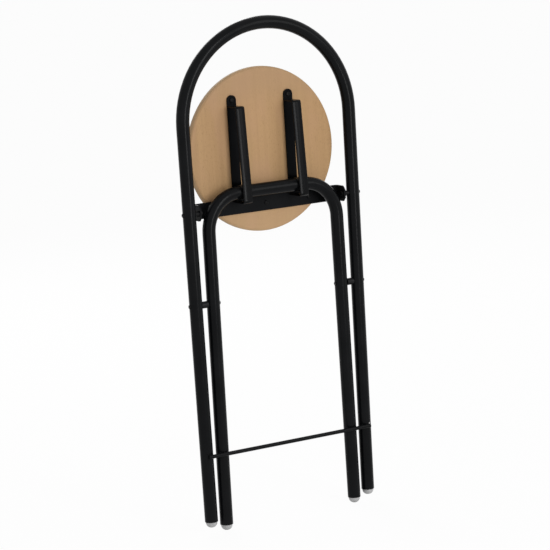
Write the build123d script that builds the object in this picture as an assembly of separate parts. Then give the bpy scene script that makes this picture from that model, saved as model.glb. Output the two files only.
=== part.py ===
from build123d import *
import os
from math import atan, cos, degrees, pi, sin, tan

# Folding stool, folded: an arched outer frame, a U-shaped inner frame and a round board seat.
# Millimetres. X runs to the right, Y away from the viewer, Z up, and the inner frame's feet stand on
# Z = 0. The shapes are worked out about the tubes' common plane, Y = 0, and written moved by plane_y,
# which centres the folded stool on Y = 0.

# Tubes of both frames. The outer legs toe in downward and the inner legs spread by the same slope.
tube_r = 12.0
tube_wall = 1.5
bore_r = tube_r - tube_wall
lean = atan(0.006)

# Clearances: turning fits, and pieces that pass each other.
running = 0.05
part_gap = 0.3

# Outer frame: two legs joined by one big arch.
arch_r = 172.8
arch_z = 740.4
hoop_end_z = 20.8
hoop_foot_z = 10.4
tangent_x = arch_r * cos(lean)
tangent_z = arch_z - arch_r * sin(lean)
drill = arch_r + 3 * tube_r


def hoop_x(z):
    """Half the distance between the outer legs' centre lines at a height."""
    return tangent_x - (tangent_z - z) * tan(lean)


# Pivots: the frames fold at fold_z, and the seat turns on the outer frame at seat_z.
fold_z = 419.7
seat_z = 585.0
shank_r = 2.5
head_r = 3.8
head_sink = 2.0
fold_head_h = 1.8
seat_head_h = 2.2
nut_r = 3.9
fold_nut_h = 1.0
seat_nut_h = 3.4
nut_wall = 0.5
fold_spacer_r = 6.4
seat_spacer_r = 4.9

# Inner frame: two legs joined by a straight bar that slides in the rails.
leg_step = 35.75
inner_end_z = 10.4
bar_rise = 28.3
bar_z = seat_z + bar_rise
bend_r = 66.2


def inner_x(z):
    """Half the distance between the inner legs' centre lines at a height."""
    return hoop_x(fold_z) - leg_step - (z - fold_z) * tan(lean)


straight_half = inner_x(bar_z) - bend_r * tan(pi / 4 - lean / 2)

# Feet.
spigot = 18.0
spigot_chamfer = 1.0
spigot_slack = 0.1
dome_step = 1.5
dome_r = tube_r - dome_step

# Stretcher rod, in front of all four legs.
rod_r = 3.6
rod_z = 144.3
rod_over = 3.0
rod_clear = 0.4
rod_round = 0.8
rod_y = -(tube_r + rod_r + rod_clear)
weld_w = 5.0
weld_h = 4.6

# Seat board.
board_r = 150.0
board_z = seat_z + board_r * 0.652
board_thick = 15.0
under_y = 2.1 * tube_r
back_y = under_y + board_thick
rim_r = 5.0

# Crossbar under the seat, with an ear bent forward at each end.
bar_thick = 3.0
crossbar_half_h = 14.3
ear_gap = 7.2
ear_x = hoop_x(seat_z) - tube_r - ear_gap
ear_in_x = ear_x - bar_thick
ear_y = -6.0
ear_bend = 5.0
ear_chamfer = 6.5
crossbar_top = seat_z + crossbar_half_h
crossbar_front = under_y - bar_thick

# Slide rails: a strap bent into a long loop, with a tab on the seat at its upper end.
# Wear sleeves turn on the inner frame's bar inside them.
rail_w = 18.6
tab_r = rail_w / 2
rail_x = straight_half - tab_r
strap = 2.5
strap_bend = 5.0
strap_round = 0.9
sleeve_wall = 1.0
sleeve_r = tube_r + sleeve_wall
rail_drop = 6.5
rail_bottom_z = crossbar_top - rail_drop
rail_len = 174.5
rail_top_z = rail_bottom_z + rail_len
rail_clear = 2.0
rail_slope = 10.8
rail_bottom_y = -(sleeve_r + strap + rail_clear)
rail_top_y = rail_bottom_y + rail_slope
tab_rise = 10.0
tab_screw_z = rail_top_z + tab_rise

# Wood screws.
screw_head_r = 4.2
screw_head_h = 2.2
screw_r = 2.0
screw_len = 12.0
slot_l = 4.6
slot_w = 0.9
hole_deep = 0.4
crossbar_screw_x = (-0.6 * board_r, 0.0, 0.6 * board_r)

plane_y = -(back_y + rod_y - rod_r) / 2
low = (Align.CENTER, Align.CENTER, Align.MIN)

os.makedirs("parts", exist_ok=True)


def write(name, shape):
    """Writes one piece, moved to the stool's own frame."""
    export_step(Pos(0, plane_y, 0) * shape, "parts/" + name + ".step")


def write_pair(name, right):
    """Writes a right-hand piece and its mirror image."""
    write(name + "_right", right)
    write(name + "_left", mirror(right, about=Plane.YZ))


def rod_x(radius, x_from, x_to, y, z):
    """A round bar along X."""
    length = x_to - x_from
    return Pos(x_from, y, z) * Rot(0, 90, 0) * Cylinder(radius, length, align=low)


def swept(path, radius):
    """A round bar along a path."""
    start = Plane(origin=path @ 0, z_dir=path % 0)
    return sweep(start * Circle(radius), path=path)


# Outer frame's tube.
hoop_path = Wire(
    [
        Line((-hoop_x(hoop_end_z), 0, hoop_end_z), (-tangent_x, 0, tangent_z)).edge(),
        ThreePointArc(
            (-tangent_x, 0, tangent_z),
            (0, 0, arch_z + arch_r),
            (tangent_x, 0, tangent_z),
        ).edge(),
        Line((tangent_x, 0, tangent_z), (hoop_x(hoop_end_z), 0, hoop_end_z)).edge(),
    ]
)
hoop_full = swept(hoop_path, tube_r)
hoop_tube = hoop_full - swept(hoop_path, bore_r)
for pivot_z in (fold_z, seat_z):
    hoop_tube -= rod_x(shank_r + running, -drill, drill, 0, pivot_z)
write("hoop_tube", hoop_tube)


# Inner frame's tube.
inner_path = FilletPolyline(
    (-inner_x(inner_end_z), 0, inner_end_z),
    (-inner_x(bar_z), 0, bar_z),
    (inner_x(bar_z), 0, bar_z),
    (inner_x(inner_end_z), 0, inner_end_z),
    radius=bend_r,
).wire()
inner_tube = swept(inner_path, tube_r) - swept(inner_path, bore_r)
inner_tube -= rod_x(shank_r + running, -drill, drill, 0, fold_z)
write("inner_tube", inner_tube)


# Feet: a spigot in the tube's bore and a dome below the tube's end, cut flat for the floor.
def foot(x, end_z, floor_z, tilt):
    """A foot on the right-hand leg whose tube ends at (x, end_z)."""
    drop = end_z - floor_z
    low_z = -drop - 0.02 * tube_r
    plug_r = bore_r - spigot_slack
    shoulder = (dome_r, -drop * 0.22)
    flat_edge = (dome_r * 0.36, low_z)
    profile = make_face(
        Polyline(
            (0, spigot),
            (plug_r - spigot_chamfer, spigot),
            (plug_r, spigot - spigot_chamfer),
            (plug_r, 0),
            (dome_r, 0),
            shoulder,
        )
        + ThreePointArc(shoulder, (dome_r * 0.82, -drop * 0.70), flat_edge)
        + Polyline(flat_edge, (0, low_z), (0, spigot))
    )
    body = Pos(x, 0, end_z) * Rot(0, tilt, 0) * revolve(Plane.XZ * profile, Axis.Z)
    below = Box(4 * tube_r, 4 * tube_r, tube_r, align=(Align.CENTER, Align.CENTER, Align.MAX))
    return body - Pos(x, 0, floor_z) * below


lean_deg = degrees(lean)
write_pair("hoop_foot", foot(hoop_x(hoop_end_z), hoop_end_z, hoop_foot_z, lean_deg))
write_pair("inner_foot", foot(inner_x(inner_end_z), inner_end_z, 0.0, -lean_deg))


# Fold pivot: a bolt with a low domed head, a spacer between the two legs and a nut inside.
def bolt(z, tip_x, proud):
    """A bolt whose head bears on the outside of the right-hand outer leg."""
    face_x = hoop_x(z) + tube_r
    head = rod_x(head_r, face_x - head_sink, face_x + proud, 0, z)
    head = fillet(head.faces().sort_by(Axis.X)[-1].edges(), proud * 0.8)
    return (head - hoop_full) + rod_x(shank_r, tip_x, face_x, 0, z)


def nut(x_from, x_to, hole_to, z):
    """A hexagon nut on the right-hand side, its rounded end toward the middle."""
    hexagon = Plane.YZ * RegularPolygon(nut_r, 6)
    body = Pos(x_from, 0, z) * extrude(hexagon, x_to - x_from)
    dome = rod_x(nut_r, x_from, x_to, 0, z)
    body &= fillet(dome.faces().sort_by(Axis.X)[0].edges(), 0.2 * nut_r)
    return body - rod_x(shank_r, hole_to, x_to + shank_r, 0, z)


inner_out_x = inner_x(fold_z) + tube_r
inner_in_x = inner_x(fold_z) - tube_r
nut_face_x = inner_in_x - part_gap
tip_x = nut_face_x - fold_nut_h + nut_wall
write_pair("fold_bolt", bolt(fold_z, tip_x, fold_head_h))
write_pair("fold_nut", nut(nut_face_x - fold_nut_h, nut_face_x, tip_x, fold_z))
fold_spacer = rod_x(fold_spacer_r, inner_out_x + part_gap, hoop_x(fold_z), 0, fold_z) - hoop_full
fold_spacer -= rod_x(shank_r + running, 0, drill, 0, fold_z)
write_pair("fold_spacer", fold_spacer.solids().sort_by(Axis.X)[0])

# Seat pivot: a bolt and its spacer on the outer leg, and a stub with its nut on the seat's ear.
write_pair("seat_bolt", bolt(seat_z, ear_x + part_gap, seat_head_h))
seat_spacer = rod_x(seat_spacer_r, ear_x + part_gap, hoop_x(seat_z), 0, seat_z) - hoop_full
seat_spacer -= rod_x(shank_r + running, 0, drill, 0, seat_z)
write_pair("seat_spacer", seat_spacer.solids().sort_by(Axis.X)[0])
stub_x = ear_in_x - seat_nut_h + nut_wall
stub = rod_x(shank_r, stub_x, ear_x, 0, seat_z)
write_pair("seat_nut", nut(ear_in_x - seat_nut_h, ear_in_x, stub_x, seat_z) + stub)

# Stretcher rod, welded to the front of the outer legs.
rod_half = hoop_x(rod_z) + rod_over
stretcher = rod_x(rod_r, -rod_half, rod_half, rod_y, rod_z)
stretcher = fillet(stretcher.edges().filter_by(GeomType.CIRCLE), rod_round)
weld_d = -rod_y - tube_r * 0.9
for side in (-1, 1):
    weld = Pos(side * hoop_x(rod_z), rod_y + weld_d / 2, rod_z) * Box(weld_w, weld_d, weld_h)
    stretcher += weld - hoop_full
write("stretcher_rod", stretcher)

# Wear sleeves that turn on the inner frame's bar and run in the rails.
sleeve = rod_x(sleeve_r, rail_x - tab_r, rail_x + tab_r, 0, bar_z)
sleeve -= rod_x(tube_r + running, 0, drill, 0, bar_z)
write_pair("slide_sleeve", sleeve)


# Wood screws, their heads toward the viewer.
def screw(x, face_y, z):
    """A domed wood screw whose head bears on a face that looks along -Y."""
    along = Rot(90, 0, 0)
    head = Cylinder(screw_head_r, screw_head_h, align=low)
    head = fillet(head.faces().sort_by(Axis.Z)[-1].edges(), screw_head_h * 0.75)
    slot_d = 1.6 * screw_head_h / 2
    slot = Box(slot_l, slot_w, slot_d) + Box(slot_w, slot_l, slot_d)
    slot = Pos(0, 0, screw_head_h) * slot
    shank = Pos(0, 0, -screw_len) * Cylinder(screw_r, screw_len, align=low)
    return Pos(x, face_y, z) * along * (head - slot + shank)


for side, x in zip(("left", "middle", "right"), crossbar_screw_x):
    write("crossbar_screw_" + side, screw(x, crossbar_front, seat_z))
write_pair("rail_screw", screw(rail_x, under_y - strap, tab_screw_z))

# Seat board, with its rim rounded over on both faces and holes for the screws.
board = Pos(0, back_y, board_z) * Rot(90, 0, 0) * Cylinder(board_r, board_thick, align=low)
board = fillet(board.edges().filter_by(GeomType.CIRCLE), rim_r)


def screw_hole(x, z):
    """A pilot hole along Y for one screw's shank."""
    end_y = under_y - strap + screw_len + hole_deep
    depth = end_y - under_y + 2 * bar_thick
    return Pos(x, end_y, z) * Rot(90, 0, 0) * Cylinder(screw_r + running, depth, align=low)


hole_spots = [(x, seat_z) for x in crossbar_screw_x]
hole_spots += [(side * rail_x, tab_screw_z) for side in (-1, 1)]
for x, z in hole_spots:
    board -= screw_hole(x, z)
write("seat_board", board)

# Crossbar.
mid_y = under_y - bar_thick / 2
ear_mid = ear_x - bar_thick / 2
strip_line = FilletPolyline(
    (-ear_mid, ear_y), (-ear_mid, mid_y), (ear_mid, mid_y), (ear_mid, ear_y), radius=ear_bend
)
crossbar = Pos(0, 0, seat_z - crossbar_half_h) * extrude(trace(strip_line, bar_thick), 2 * crossbar_half_h)
ear_corners = crossbar.edges().filter_by(Axis.X).filter_by_position(Axis.Y, ear_y - running, ear_y + running)
crossbar = chamfer(ear_corners, ear_chamfer)
crossbar -= rod_x(shank_r + running, -drill, drill, 0, seat_z)
for x in crossbar_screw_x:
    crossbar -= screw_hole(x, seat_z)
write("seat_crossbar", crossbar)


# Slide rails.
def slope_y(z):
    """The front face of a rail's outer leg at a height."""
    share = (z - rail_bottom_z) / (rail_top_z - rail_bottom_z)
    return rail_bottom_y + (rail_top_y - rail_bottom_y) * share


outline = make_face(
    Polyline(
        (rail_bottom_y, rail_bottom_z),
        (rail_top_y, rail_top_z),
        (under_y, rail_top_z),
        (under_y, rail_bottom_z),
        close=True,
    )
)
outline = fillet(outline.vertices().sort_by(Axis.X)[:2], strap_bend)
inside = make_face(
    Polyline(
        (slope_y(rail_bottom_z + strap) + strap, rail_bottom_z + strap),
        (slope_y(rail_top_z - strap) + strap, rail_top_z - strap),
        (under_y - strap, rail_top_z - strap),
        (under_y - strap, rail_bottom_z + strap),
        close=True,
    )
)
inside = fillet(inside.vertices().sort_by(Axis.X)[:2], strap_bend - strap)
seat_corner = Pos(under_y, rail_bottom_z) * Rectangle(2 * bar_thick, 2 * (crossbar_top - rail_bottom_z))
loop = Plane.YZ.offset(rail_x - tab_r) * (outline - inside - seat_corner)
rail = extrude(loop, rail_w)
long_edges = rail.edges().filter_by(lambda e: e.length > (rail_top_z - rail_bottom_z) * 0.8)
rail = fillet(long_edges.filter_by(lambda e: e.center().Y < 0), strap_round)
tab = Pos(rail_x, under_y, tab_screw_z) * Rot(90, 0, 0) * Cylinder(tab_r, strap, align=low)
tab_low_z = rail_top_z - strap
tab += Pos(rail_x, under_y - strap / 2, (tab_low_z + tab_screw_z) / 2) * Box(
    rail_w, strap, tab_screw_z - tab_low_z
)
rail += tab
rail -= screw_hole(rail_x, tab_screw_z)
write_pair("slide_rail", rail)
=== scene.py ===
import math

import bmesh
import bpy
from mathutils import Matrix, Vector


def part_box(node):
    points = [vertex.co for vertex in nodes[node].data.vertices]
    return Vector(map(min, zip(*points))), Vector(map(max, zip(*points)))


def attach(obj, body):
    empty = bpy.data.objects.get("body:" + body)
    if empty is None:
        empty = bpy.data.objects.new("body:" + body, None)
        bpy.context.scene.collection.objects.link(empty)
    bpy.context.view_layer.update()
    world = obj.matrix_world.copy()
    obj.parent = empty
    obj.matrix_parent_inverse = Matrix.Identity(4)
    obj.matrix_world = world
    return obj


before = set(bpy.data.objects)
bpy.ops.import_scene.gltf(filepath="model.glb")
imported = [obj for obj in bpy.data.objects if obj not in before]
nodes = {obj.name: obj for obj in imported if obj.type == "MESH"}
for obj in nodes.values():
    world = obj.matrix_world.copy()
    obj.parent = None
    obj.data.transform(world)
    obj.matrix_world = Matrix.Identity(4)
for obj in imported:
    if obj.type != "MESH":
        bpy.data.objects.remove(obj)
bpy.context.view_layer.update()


# Outer frame: one length of round steel tube, bent to a big arch with its two legs toed in a little.
# It is powder coated satin black in one go with the rod welded across its legs, so the coat is one
# skin with a fine orange-peel surface and faint cloudy differences in sheen.


class Signal:
    """An output socket of a material. Operators on it add Math nodes."""

    def __init__(self, tree, socket=None):
        self.tree = tree
        self.socket = socket

    def node(self, kind, settings, sockets, out=0):
        """Adds a node of a type, with its settings set first, and gives one of its outputs."""
        made = self.tree.nodes.new("ShaderNode" + kind)
        for name, value in settings.items():
            setattr(made, name, value)
        for name, value in sockets.items():
            if isinstance(value, Signal):
                self.tree.links.new(value.socket, made.inputs[name])
            else:
                made.inputs[name].default_value = value
        return Signal(self.tree, made.outputs[out] if made.outputs else None)

    def maths(self, operation, *values):
        """A Math node on one or two values."""
        return self.node("Math", {"operation": operation}, dict(enumerate(values)))

    def __add__(self, other):
        return self.maths("ADD", self, other)

    __radd__ = __add__

    def __sub__(self, other):
        return self.maths("SUBTRACT", self, other)

    def __rsub__(self, other):
        return self.maths("SUBTRACT", other, self)

    def __mul__(self, other):
        return self.maths("MULTIPLY", self, other)

    __rmul__ = __mul__

    def within(self, low, high):
        """0 below low, 1 above high, and a smooth step between."""
        settings = {"interpolation_type": "SMOOTHSTEP"}
        return self.node("MapRange", settings, {0: self, 1: low, 2: high})


def start_finish(name):
    """A new material with nothing in it."""
    material = bpy.data.materials.new(name)
    material.use_nodes = True
    material.node_tree.nodes.clear()
    return material, Signal(material.node_tree)


def stretched(sig, where, stretch):
    """Coordinates scaled along each axis."""
    return sig.node("Mapping", {}, {"Vector": where, "Scale": stretch})


def place(sig, stretch=(1.0, 1.0, 1.0)):
    """The piece's own coordinates in metres, scaled along each axis."""
    return stretched(sig, sig.node("TexCoord", {}, {}, out="Object"), stretch)


def noise(sig, where, scale, detail=2.0, rough=0.5):
    """Soft noise from 0 to 1; scale is in cycles per metre."""
    sockets = {"Vector": where, "Scale": scale, "Detail": detail, "Roughness": rough}
    return sig.node("TexNoise", {}, sockets)


def mixed(sig, share, first, second):
    """A colour between two, by a share."""
    sockets = {"Factor": share, 6: first, 7: second}
    return sig.node("Mix", {"data_type": "RGBA"}, sockets, out=2)


def bumped(sig, height, depth):
    """A surface normal from a height of 0 to 1 that stands for a depth in metres."""
    return sig.node("Bump", {}, {"Height": height, "Distance": depth, "Strength": 1.0})


def end_finish(sig, colour, rough, normal, others):
    """Closes a material with the shader that all of these finishes use."""
    sockets = {"Base Color": colour, "Roughness": rough, "Normal": normal, **others}
    shader = sig.node("BsdfPrincipled", {}, sockets)
    sig.node("OutputMaterial", {}, {"Surface": shader})


def dress(material, *names):
    """Puts a finish on CAD nodes."""
    for name in names:
        for slot in nodes[name].material_slots:
            slot.material = material


peel_per_m = 900.0
cloud_per_m = 16.0
cloud_band = (0.3, 0.75)


def coat_grain(sig, where):
    """A powder coat's orange peel and its cloudy sheen, each from 0 to 1."""
    peel = noise(sig, where, peel_per_m, detail=1.0)
    cloud = noise(sig, where, cloud_per_m, detail=3.0)
    return peel, cloud


coat_black = (0.0030, 0.0033, 0.0038, 1.0)
coat_grey = (0.0056, 0.0059, 0.0067, 1.0)
coat_speck = (0.030, 0.031, 0.033, 1.0)
speck_per_m = 2600.0
speck_band = (0.66, 0.78)
speck_share = 0.2
peel_depth = 0.00004
coat_specular = 0.075

powder_coat, sig = start_finish("powder_coat")
where = place(sig)
peel, cloud = coat_grain(sig, where)
speck = noise(sig, where, speck_per_m, detail=0.0).within(*speck_band)
tint = mixed(sig, cloud.within(*cloud_band), coat_black, coat_grey)
end_finish(
    sig,
    colour=mixed(sig, speck * speck_share, tint, coat_speck),
    rough=0.15 + cloud * 0.12 + speck * 0.1,
    normal=bumped(sig, peel, peel_depth),
    others={"Specular IOR Level": coat_specular},
)
dress(powder_coat, "hoop_tube", "stretcher_rod")


# Welds of the stretcher rod: a small rippled bead above and below the rod on the front of each outer
# leg, laid down by hand and coated with the frame. On the right, the outer end of the bead above the
# rod has a patch of pale, metallic bare steel: a painted highlight that gives a glint there.
bead_r = 0.0016
bead_half = 0.0042
bead_spots = 6
bead_climb = 0.0024
bead_sink = 0.0004
rod_past_leg = 0.003
rod_low, rod_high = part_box("stretcher_rod")
rod_r = (rod_high.z - rod_low.z) / 2
rod_z = (rod_low.z + rod_high.z) / 2
bead_rise = 0.8 * rod_r
leg_x = rod_high.x - rod_past_leg
hoop_low, hoop_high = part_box("hoop_tube")
tube_r = (hoop_high.y - hoop_low.y) / 2
tube_y = (hoop_high.y + hoop_low.y) / 2

# Painted highlight: the pale bare-steel patch that makes the glint on the right bead.
glint_bare_steel = (0.46, 0.455, 0.45, 1.0)
glint_metallic = 0.7
glint_start_x = leg_x + 0.0010
glint_full_x = leg_x + 0.0026
glint_lumps = (0.25, 0.5)
lump_per_m = 1100.0
lump_depth = 0.00006


def axis(sig, where, letter):
    """One of a place's three coordinates, in metres."""
    return sig.node("SeparateXYZ", {}, {"Vector": where}, out=letter)


weld_coat, sig = start_finish("weld_coat")
where = place(sig)
lumps = noise(sig, where, lump_per_m)
outer_end = axis(sig, where, "X").within(glint_start_x, glint_full_x)
above_rod = axis(sig, where, "Z").within(rod_z, rod_z + bead_rise)
# Painted highlight: pale bare steel on the right bead's outer end, above the rod.
bare_glint = outer_end * above_rod * lumps.within(*glint_lumps)
end_finish(
    sig,
    colour=mixed(sig, bare_glint, coat_black, glint_bare_steel),
    rough=0.30 + lumps * 0.2,
    normal=bumped(sig, lumps, lump_depth),
    others={"Metallic": bare_glint * glint_metallic, "Specular IOR Level": coat_specular},
)


def bead(name, spots, radius):
    """A weld bead: a run of overlapping rounded puddles along a line of spots."""
    ring_points = 10
    rings_per_spot = 4
    puddle_dip = 0.14
    end_rings = 2.2
    end_blunt = 0.35
    mesh = bpy.data.meshes.new(name)
    shape = bmesh.new()
    rings = []
    last = rings_per_spot * (len(spots) - 1)
    for step in range(last + 1):
        share = step / rings_per_spot
        low = min(int(share), len(spots) - 2)
        centre = spots[low].lerp(spots[low + 1], share - low)
        along = (spots[low + 1] - spots[low]).normalized()
        side = along.orthogonal().normalized()
        across = along.cross(side)
        swell = 1 - puddle_dip + puddle_dip * math.cos(2 * math.pi * share)
        from_end = min(1.0, (step + end_blunt) / end_rings, (last - step + end_blunt) / end_rings)
        size = radius * swell * math.sin(math.pi * from_end / 2)
        ring = []
        for turn in range(ring_points):
            angle = 2 * math.pi * turn / ring_points
            spot = centre + (side * math.cos(angle) + across * math.sin(angle)) * size
            ring.append(shape.verts.new(spot))
        rings.append(ring)
    for first, second in zip(rings, rings[1:]):
        for turn in range(ring_points):
            after = (turn + 1) % ring_points
            shape.faces.new((first[turn], first[after], second[after], second[turn]))
    shape.faces.new(list(reversed(rings[0])))
    shape.faces.new(rings[-1])
    bmesh.ops.recalc_face_normals(shape, faces=shape.faces)
    shape.to_mesh(mesh)
    shape.free()
    for face in mesh.polygons:
        face.use_smooth = True
    piece = bpy.data.objects.new(name, mesh)
    bpy.context.scene.collection.objects.link(piece)
    return piece


for side, word in ((-1, "left"), (1, "right")):
    for lift, end in ((-1, "below"), (1, "above")):
        spots = []
        for step in range(bead_spots):
            along = -1 + 2 * step / (bead_spots - 1)
            off = along * bead_half
            climb = bead_climb * max(0.0, along * side) ** 2
            y = tube_y - math.sqrt(tube_r ** 2 - off ** 2) - bead_sink
            spots.append(Vector((side * leg_x + off, y, rod_z + lift * (bead_rise + climb))))
        weld = bead("rod_weld_" + end + "_" + word, spots, bead_r)
        weld.data.materials.append(weld_coat)
        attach(weld, "hoop")


# Inner frame: a second tube of the same size, bent twice to a U whose bar slides under the seat. It
# has the same powder coat.
dress(powder_coat, "inner_tube")


# Feet: pale plastic plugs pushed into the four tube ends, moulded with a faint grain, a little cloudy
# in tone and scuffed grey where they meet the floor.
plug_pale = (0.52, 0.52, 0.52, 1.0)
plug_shade = (0.42, 0.42, 0.42, 1.0)
plug_scuff = (0.26, 0.26, 0.255, 1.0)
plug_cloud_per_m = 120.0
plug_grain_per_m = 1500.0
plug_grain_depth = 0.00002
scuff_per_m = 260.0
scuff_band = (0.35, 0.65)
scuff_high = 0.004
scuff_share = 0.25

plug_plastic, sig = start_finish("plug_plastic")
where = place(sig)
cloud = noise(sig, where, plug_cloud_per_m)
grain = noise(sig, where, plug_grain_per_m, detail=1.0)
near_floor = 1 - axis(sig, where, "Z").within(0.0, scuff_high)
scuff = near_floor * noise(sig, where, scuff_per_m).within(*scuff_band)
tint = mixed(sig, cloud, plug_pale, plug_shade)
end_finish(
    sig,
    colour=mixed(sig, scuff * scuff_share, tint, plug_scuff),
    rough=0.38 + cloud * 0.14 + scuff * 0.2,
    normal=bumped(sig, grain, plug_grain_depth),
    others={"Specular IOR Level": 0.35},
)
dress(plug_plastic, "hoop_foot_left", "hoop_foot_right", "inner_foot_left", "inner_foot_right")


# Pivots and screws: steel bolts with low domed heads, their nuts, the seat's spacers and the seat's
# wood screws, all blackened, so bare steel shows a little through the finish.
oxide_black = (0.004, 0.004, 0.0045, 1.0)
oxide_worn = (0.022, 0.021, 0.020, 1.0)
mottle_per_m = 420.0
mottle_depth = 0.00005
worn_per_m = 160.0
worn_band = (0.52, 0.72)
worn_share = 0.6

black_oxide, sig = start_finish("black_oxide")
where = place(sig)
mottle = noise(sig, where, mottle_per_m, detail=3.0)
worn = noise(sig, where, worn_per_m).within(*worn_band)
end_finish(
    sig,
    colour=mixed(sig, worn * worn_share, oxide_black, oxide_worn),
    rough=0.30 + mottle * 0.2,
    normal=bumped(sig, mottle, mottle_depth),
    others={"Metallic": 0.3, "Specular IOR Level": 0.12},
)
pair = ("left", "right")
for word in pair:
    dress(black_oxide, "fold_bolt_" + word, "fold_nut_" + word)
    dress(black_oxide, "seat_bolt_" + word, "seat_nut_" + word, "seat_spacer_" + word)
    dress(black_oxide, "rail_screw_" + word)
for word in ("left", "middle", "right"):
    dress(black_oxide, "crossbar_screw_" + word)


# Fold spacers and wear sleeves: turned from black plastic, dull, with fine lathe rings round them. The
# spacers sit on the fold bolts between the legs, and the sleeves turn on the inner frame's bar.
nylon_black = (0.005, 0.005, 0.0055, 1.0)
nylon_grey = (0.010, 0.010, 0.011, 1.0)
nylon_cloud_per_m = 140.0
ring_stretch = (1.0, 0.02, 0.02)
ring_per_m = 2400.0
ring_depth = 0.00006

black_nylon, sig = start_finish("black_nylon")
rings = noise(sig, place(sig, ring_stretch), ring_per_m, detail=1.0)
cloud = noise(sig, place(sig), nylon_cloud_per_m)
end_finish(
    sig,
    colour=mixed(sig, cloud, nylon_black, nylon_grey),
    rough=0.32 + cloud * 0.12,
    normal=bumped(sig, rings, ring_depth),
    others={"Specular IOR Level": 0.13},
)
for word in pair:
    dress(black_nylon, "fold_spacer_" + word, "slide_sleeve_" + word)


# Seat board: a round of beech glued up from staves, turned, with its rim rounded over on both faces
# and lacquered clear. The grain runs from the sitter's front to back, which is upright when folded. The
# wood has painted light toward the sitter's back, the lower end, and painted shade toward the upper
# end. The rim has painted light, and painted shade on its half toward the sitting face.
beech_light = (0.492, 0.303, 0.144, 1.0)
beech_mid = (0.457, 0.277, 0.130, 1.0)
beech_deep = (0.409, 0.242, 0.110, 1.0)
beech_blush = (0.480, 0.281, 0.154, 1.0)
# Painted light toward the lower end and painted shade toward the upper end.
beech_painted_light = (0.489, 0.318, 0.178, 1.0)
beech_painted_shade = (0.391, 0.244, 0.136, 1.0)
fleck_brown = (0.230, 0.120, 0.055, 1.0)
# Painted light on the rim, and painted shade on its half toward the sitting face.
rim_painted_light = (0.520, 0.355, 0.205, 1.0)
rim_painted_shade = (0.300, 0.235, 0.155, 1.0)
board_low, board_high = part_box("seat_board")
board_r = (board_high.x - board_low.x) / 2
board_y = (board_high.y + board_low.y) / 2
board_z = (board_high.z + board_low.z) / 2
rim_start = board_r - 0.0035
rim_full = board_r - 0.0005
rim_back_y = board_high.y - 0.003
back_fade = (board_z - 0.13, board_z - 0.07)
front_fade = (board_z + 0.06, board_z + 0.13)
stave_start = 0.02
staves_per_m = 17.0
stave_shift = 0.3
bend_stretch = (3.0, 3.0, 1.2)
bend_per_m = 1.6
bend_shift = 0.012
grain_stretch = (1.0, 1.0, 0.025)
band_per_m = 95.0
band_range = (0.30, 0.70)
fibre_per_m = 900.0
fibre_range = (0.4, 0.75)
fibre_depth = 0.00004
fleck_stretch = (1.0, 1.0, 0.16)
fleck_per_m = 1500.0
fleck_range = (0.68, 0.78)
blush_stretch = (1.0, 1.0, 0.35)
blush_per_m = 26.0
blush_range = (0.42, 0.62)

beech, sig = start_finish("beech")
where = place(sig)
x = axis(sig, where, "X")
y = axis(sig, where, "Y")
z = axis(sig, where, "Z")
bend = noise(sig, place(sig, bend_stretch), bend_per_m, detail=1.0)
stave_number = sig.maths("FLOOR", (x + stave_start) * staves_per_m)
stave = sig.node("TexWhiteNoise", {"noise_dimensions": "1D"}, {"W": stave_number})
drifted = {"X": x + bend * bend_shift, "Y": y + stave * stave_shift, "Z": z}
drift = sig.node("CombineXYZ", {}, drifted)
long_grain = stretched(sig, drift, grain_stretch)
bands = noise(sig, long_grain, band_per_m, detail=4.0, rough=0.6)
fibres = noise(sig, long_grain, fibre_per_m)
flecks = noise(sig, stretched(sig, drift, fleck_stretch), fleck_per_m, detail=0.0).within(*fleck_range)
blush = noise(sig, place(sig, blush_stretch), blush_per_m, detail=1.0).within(*blush_range)
reach = sig.maths("SQRT", x * x + (z - board_z) * (z - board_z))
rim = reach.within(rim_start, rim_full)
rim_back_shade = rim * y.within(board_y, rim_back_y)
back_end = 1 - z.within(*back_fade)
front_end = z.within(*front_fade)
tone = mixed(sig, bands.within(*band_range), beech_light, beech_deep)
tone = mixed(sig, 0.42 + stave * 0.25, tone, beech_mid)
tone = mixed(sig, fibres.within(*fibre_range) * 0.22, tone, beech_deep)
tone = mixed(sig, flecks * 0.4, tone, fleck_brown)
tone = mixed(sig, blush * 0.45, tone, beech_blush)
# Painted light toward the lower end, painted shade toward the upper end.
tone = mixed(sig, back_end * 0.5, tone, beech_painted_light)
tone = mixed(sig, front_end * 0.5, tone, beech_painted_shade)
# Painted light on the rim and painted shade on its half toward the sitting face.
tone = mixed(sig, rim * 0.7, tone, rim_painted_light)
tone = mixed(sig, rim_back_shade * 0.75, tone, rim_painted_shade)
end_finish(
    sig,
    colour=tone,
    rough=0.40 + fibres * 0.12 + flecks * 0.08 + rim * 0.3,
    normal=bumped(sig, fibres * 0.6 + (1 - flecks) * 0.4, fibre_depth),
    others={"Specular IOR Level": 0.2, "Coat Weight": 0.05, "Coat Roughness": 0.3},
)
dress(beech, "seat_board")


# Crossbar: flat steel strip with an ear bent forward at each end, cut, bent and drilled, and screwed
# to the seat's underside. Its powder coat is duller than the tubes'.
strip_black = (0.0050, 0.0053, 0.0060, 1.0)
strip_grey = (0.0085, 0.0088, 0.0096, 1.0)
strip_peel_depth = 0.00008

strip_coat, sig = start_finish("strip_coat")
peel, cloud = coat_grain(sig, place(sig))
end_finish(
    sig,
    colour=mixed(sig, cloud.within(*cloud_band), strip_black, strip_grey),
    rough=0.34 + cloud * 0.12,
    normal=bumped(sig, peel, strip_peel_depth),
    others={"Specular IOR Level": 0.04},
)
dress(strip_coat, "seat_crossbar")


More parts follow.
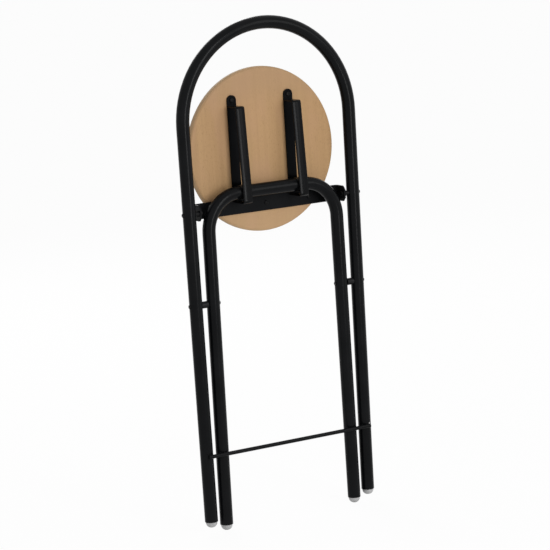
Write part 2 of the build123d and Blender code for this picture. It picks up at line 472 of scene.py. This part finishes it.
# Slide rails: steel strap, a little crowned on its outer face, bent into a long loop round the inner
# frame's bar and held by a screw through the tab at its upper end. The loop's inside and the tab carry
# painted shade: a metallic share there makes them darker and duller.
rail_black = (0.0014, 0.0016, 0.0020, 1.0)
rail_grey = (0.0026, 0.0028, 0.0034, 1.0)
rail_low, rail_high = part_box("slide_rail_right")
rail_x = (rail_low.x + rail_high.x) / 2
rail_half = (rail_high.x - rail_low.x) / 2
rail_crown = 0.0016
rail_front_y = -0.004
rail_inside_y = 0.004

rail_coat, sig = start_finish("rail_coat")
where = place(sig)
peel, cloud = coat_grain(sig, where)
# Painted shade: the loop's inside and the tab, behind the front strap, are made darker by a metallic
# share.
inside_painted_shade = axis(sig, where, "Y").within(rail_front_y, rail_inside_y)
off = (sig.maths("ABSOLUTE", axis(sig, where, "X")) - rail_x) * (1 / rail_half)
crown = (1 - off * off) * (1 - inside_painted_shade)
end_finish(
    sig,
    colour=mixed(sig, cloud.within(*cloud_band), rail_black, rail_grey),
    rough=0.17 + cloud * 0.12,
    normal=bumped(sig, crown + peel * (peel_depth / rail_crown), rail_crown),
    others={"Metallic": inside_painted_shade * 0.6, "Specular IOR Level": 0.085},
)
dress(rail_coat, "slide_rail_left", "slide_rail_right")


# Studio: a pale floor that runs on behind as the backdrop, an even white surround, a tall narrow lamp
# and a wider, weaker one in front of the stool on its right, and a lamp behind it.
floor_half = 40.0
floor_grey = (0.82, 0.82, 0.82, 1.0)
white = (1.0, 1.0, 1.0, 1.0)
floor_glow = 0.95
surround = 0.57


def seen_share(sig):
    """1 for what is seen, directly, mirrored or through glass, and 0 for light on the stool."""
    rays = ("Is Camera Ray", "Is Glossy Ray", "Is Transmission Ray")
    return sum(sig.node("LightPath", {}, {}, out=ray) for ray in rays).within(0.0, 1.0)


stage_mesh = bpy.data.meshes.new("floor")
corners = [(-floor_half, -floor_half, 0), (floor_half, -floor_half, 0)]
corners += [(floor_half, floor_half, 0), (-floor_half, floor_half, 0)]
stage_mesh.from_pydata(corners, [], [(0, 1, 2, 3)])
floor = bpy.data.objects.new("floor", stage_mesh)
bpy.context.scene.collection.objects.link(floor)
paper, sig = start_finish("floor_paper")
matt = sig.node("BsdfDiffuse", {}, {"Color": floor_grey})
glow = sig.node("Emission", {}, {"Color": white, "Strength": 1.0})
sheet = sig.node("MixShader", {}, {0: seen_share(sig) * floor_glow, 1: matt, 2: glow})
sig.node("OutputMaterial", {}, {"Surface": sheet})
stage_mesh.materials.append(paper)

world = bpy.data.worlds.new("studio")
world.use_nodes = True
world.node_tree.nodes.clear()
sig = Signal(world.node_tree)
level = seen_share(sig) * (1 - surround) + surround
sky = sig.node("Background", {}, {"Color": white, "Strength": level})
sig.node("OutputWorld", {}, {"Surface": sky})
bpy.context.scene.world = world


def lamp(name, spot, aim, wide, tall, watts):
    """A soft box lamp that looks at a point."""
    light = bpy.data.lights.new(name, "AREA")
    light.shape = "RECTANGLE"
    light.size = wide
    light.size_y = tall
    light.energy = watts
    holder = bpy.data.objects.new(name, light)
    holder.location = spot
    holder.rotation_euler = (Vector(aim) - Vector(spot)).to_track_quat("-Z", "Y").to_euler()
    bpy.context.scene.collection.objects.link(holder)


lamp("strip_lamp", spot=(0.36, -2.37, 1.0), aim=(0, 0, 1.0), wide=0.4, tall=1.8, watts=21.0)
lamp("panel_lamp", spot=(1.35, -2.08, 1.4), aim=(0, 0, 1.4), wide=0.8, tall=1.4, watts=9.0)
lamp("back_lamp", spot=(0.6, 2.6, 2.2), aim=(0, 0, 0.5), wide=1.6, tall=1.6, watts=40.0)


# Camera: the photograph's own view, with a long lens from 4.3 m away, about 30 degrees to the left of
# the stool's front and 10 degrees above it, and rolled a little.
eye = bpy.data.cameras.new("camera")
eye.sensor_width = 36.0
eye.lens = 155.45
eye.clip_end = 200.0
camera = bpy.data.objects.new("camera", eye)
camera.location = (-2.11499, -3.71885, 1.17608)
camera.rotation_euler = (1.402726, 0.060762, -0.527743)
bpy.context.scene.collection.objects.link(camera)
bpy.context.scene.camera = camera
bpy.context.scene.view_settings.view_transform = "Standard"
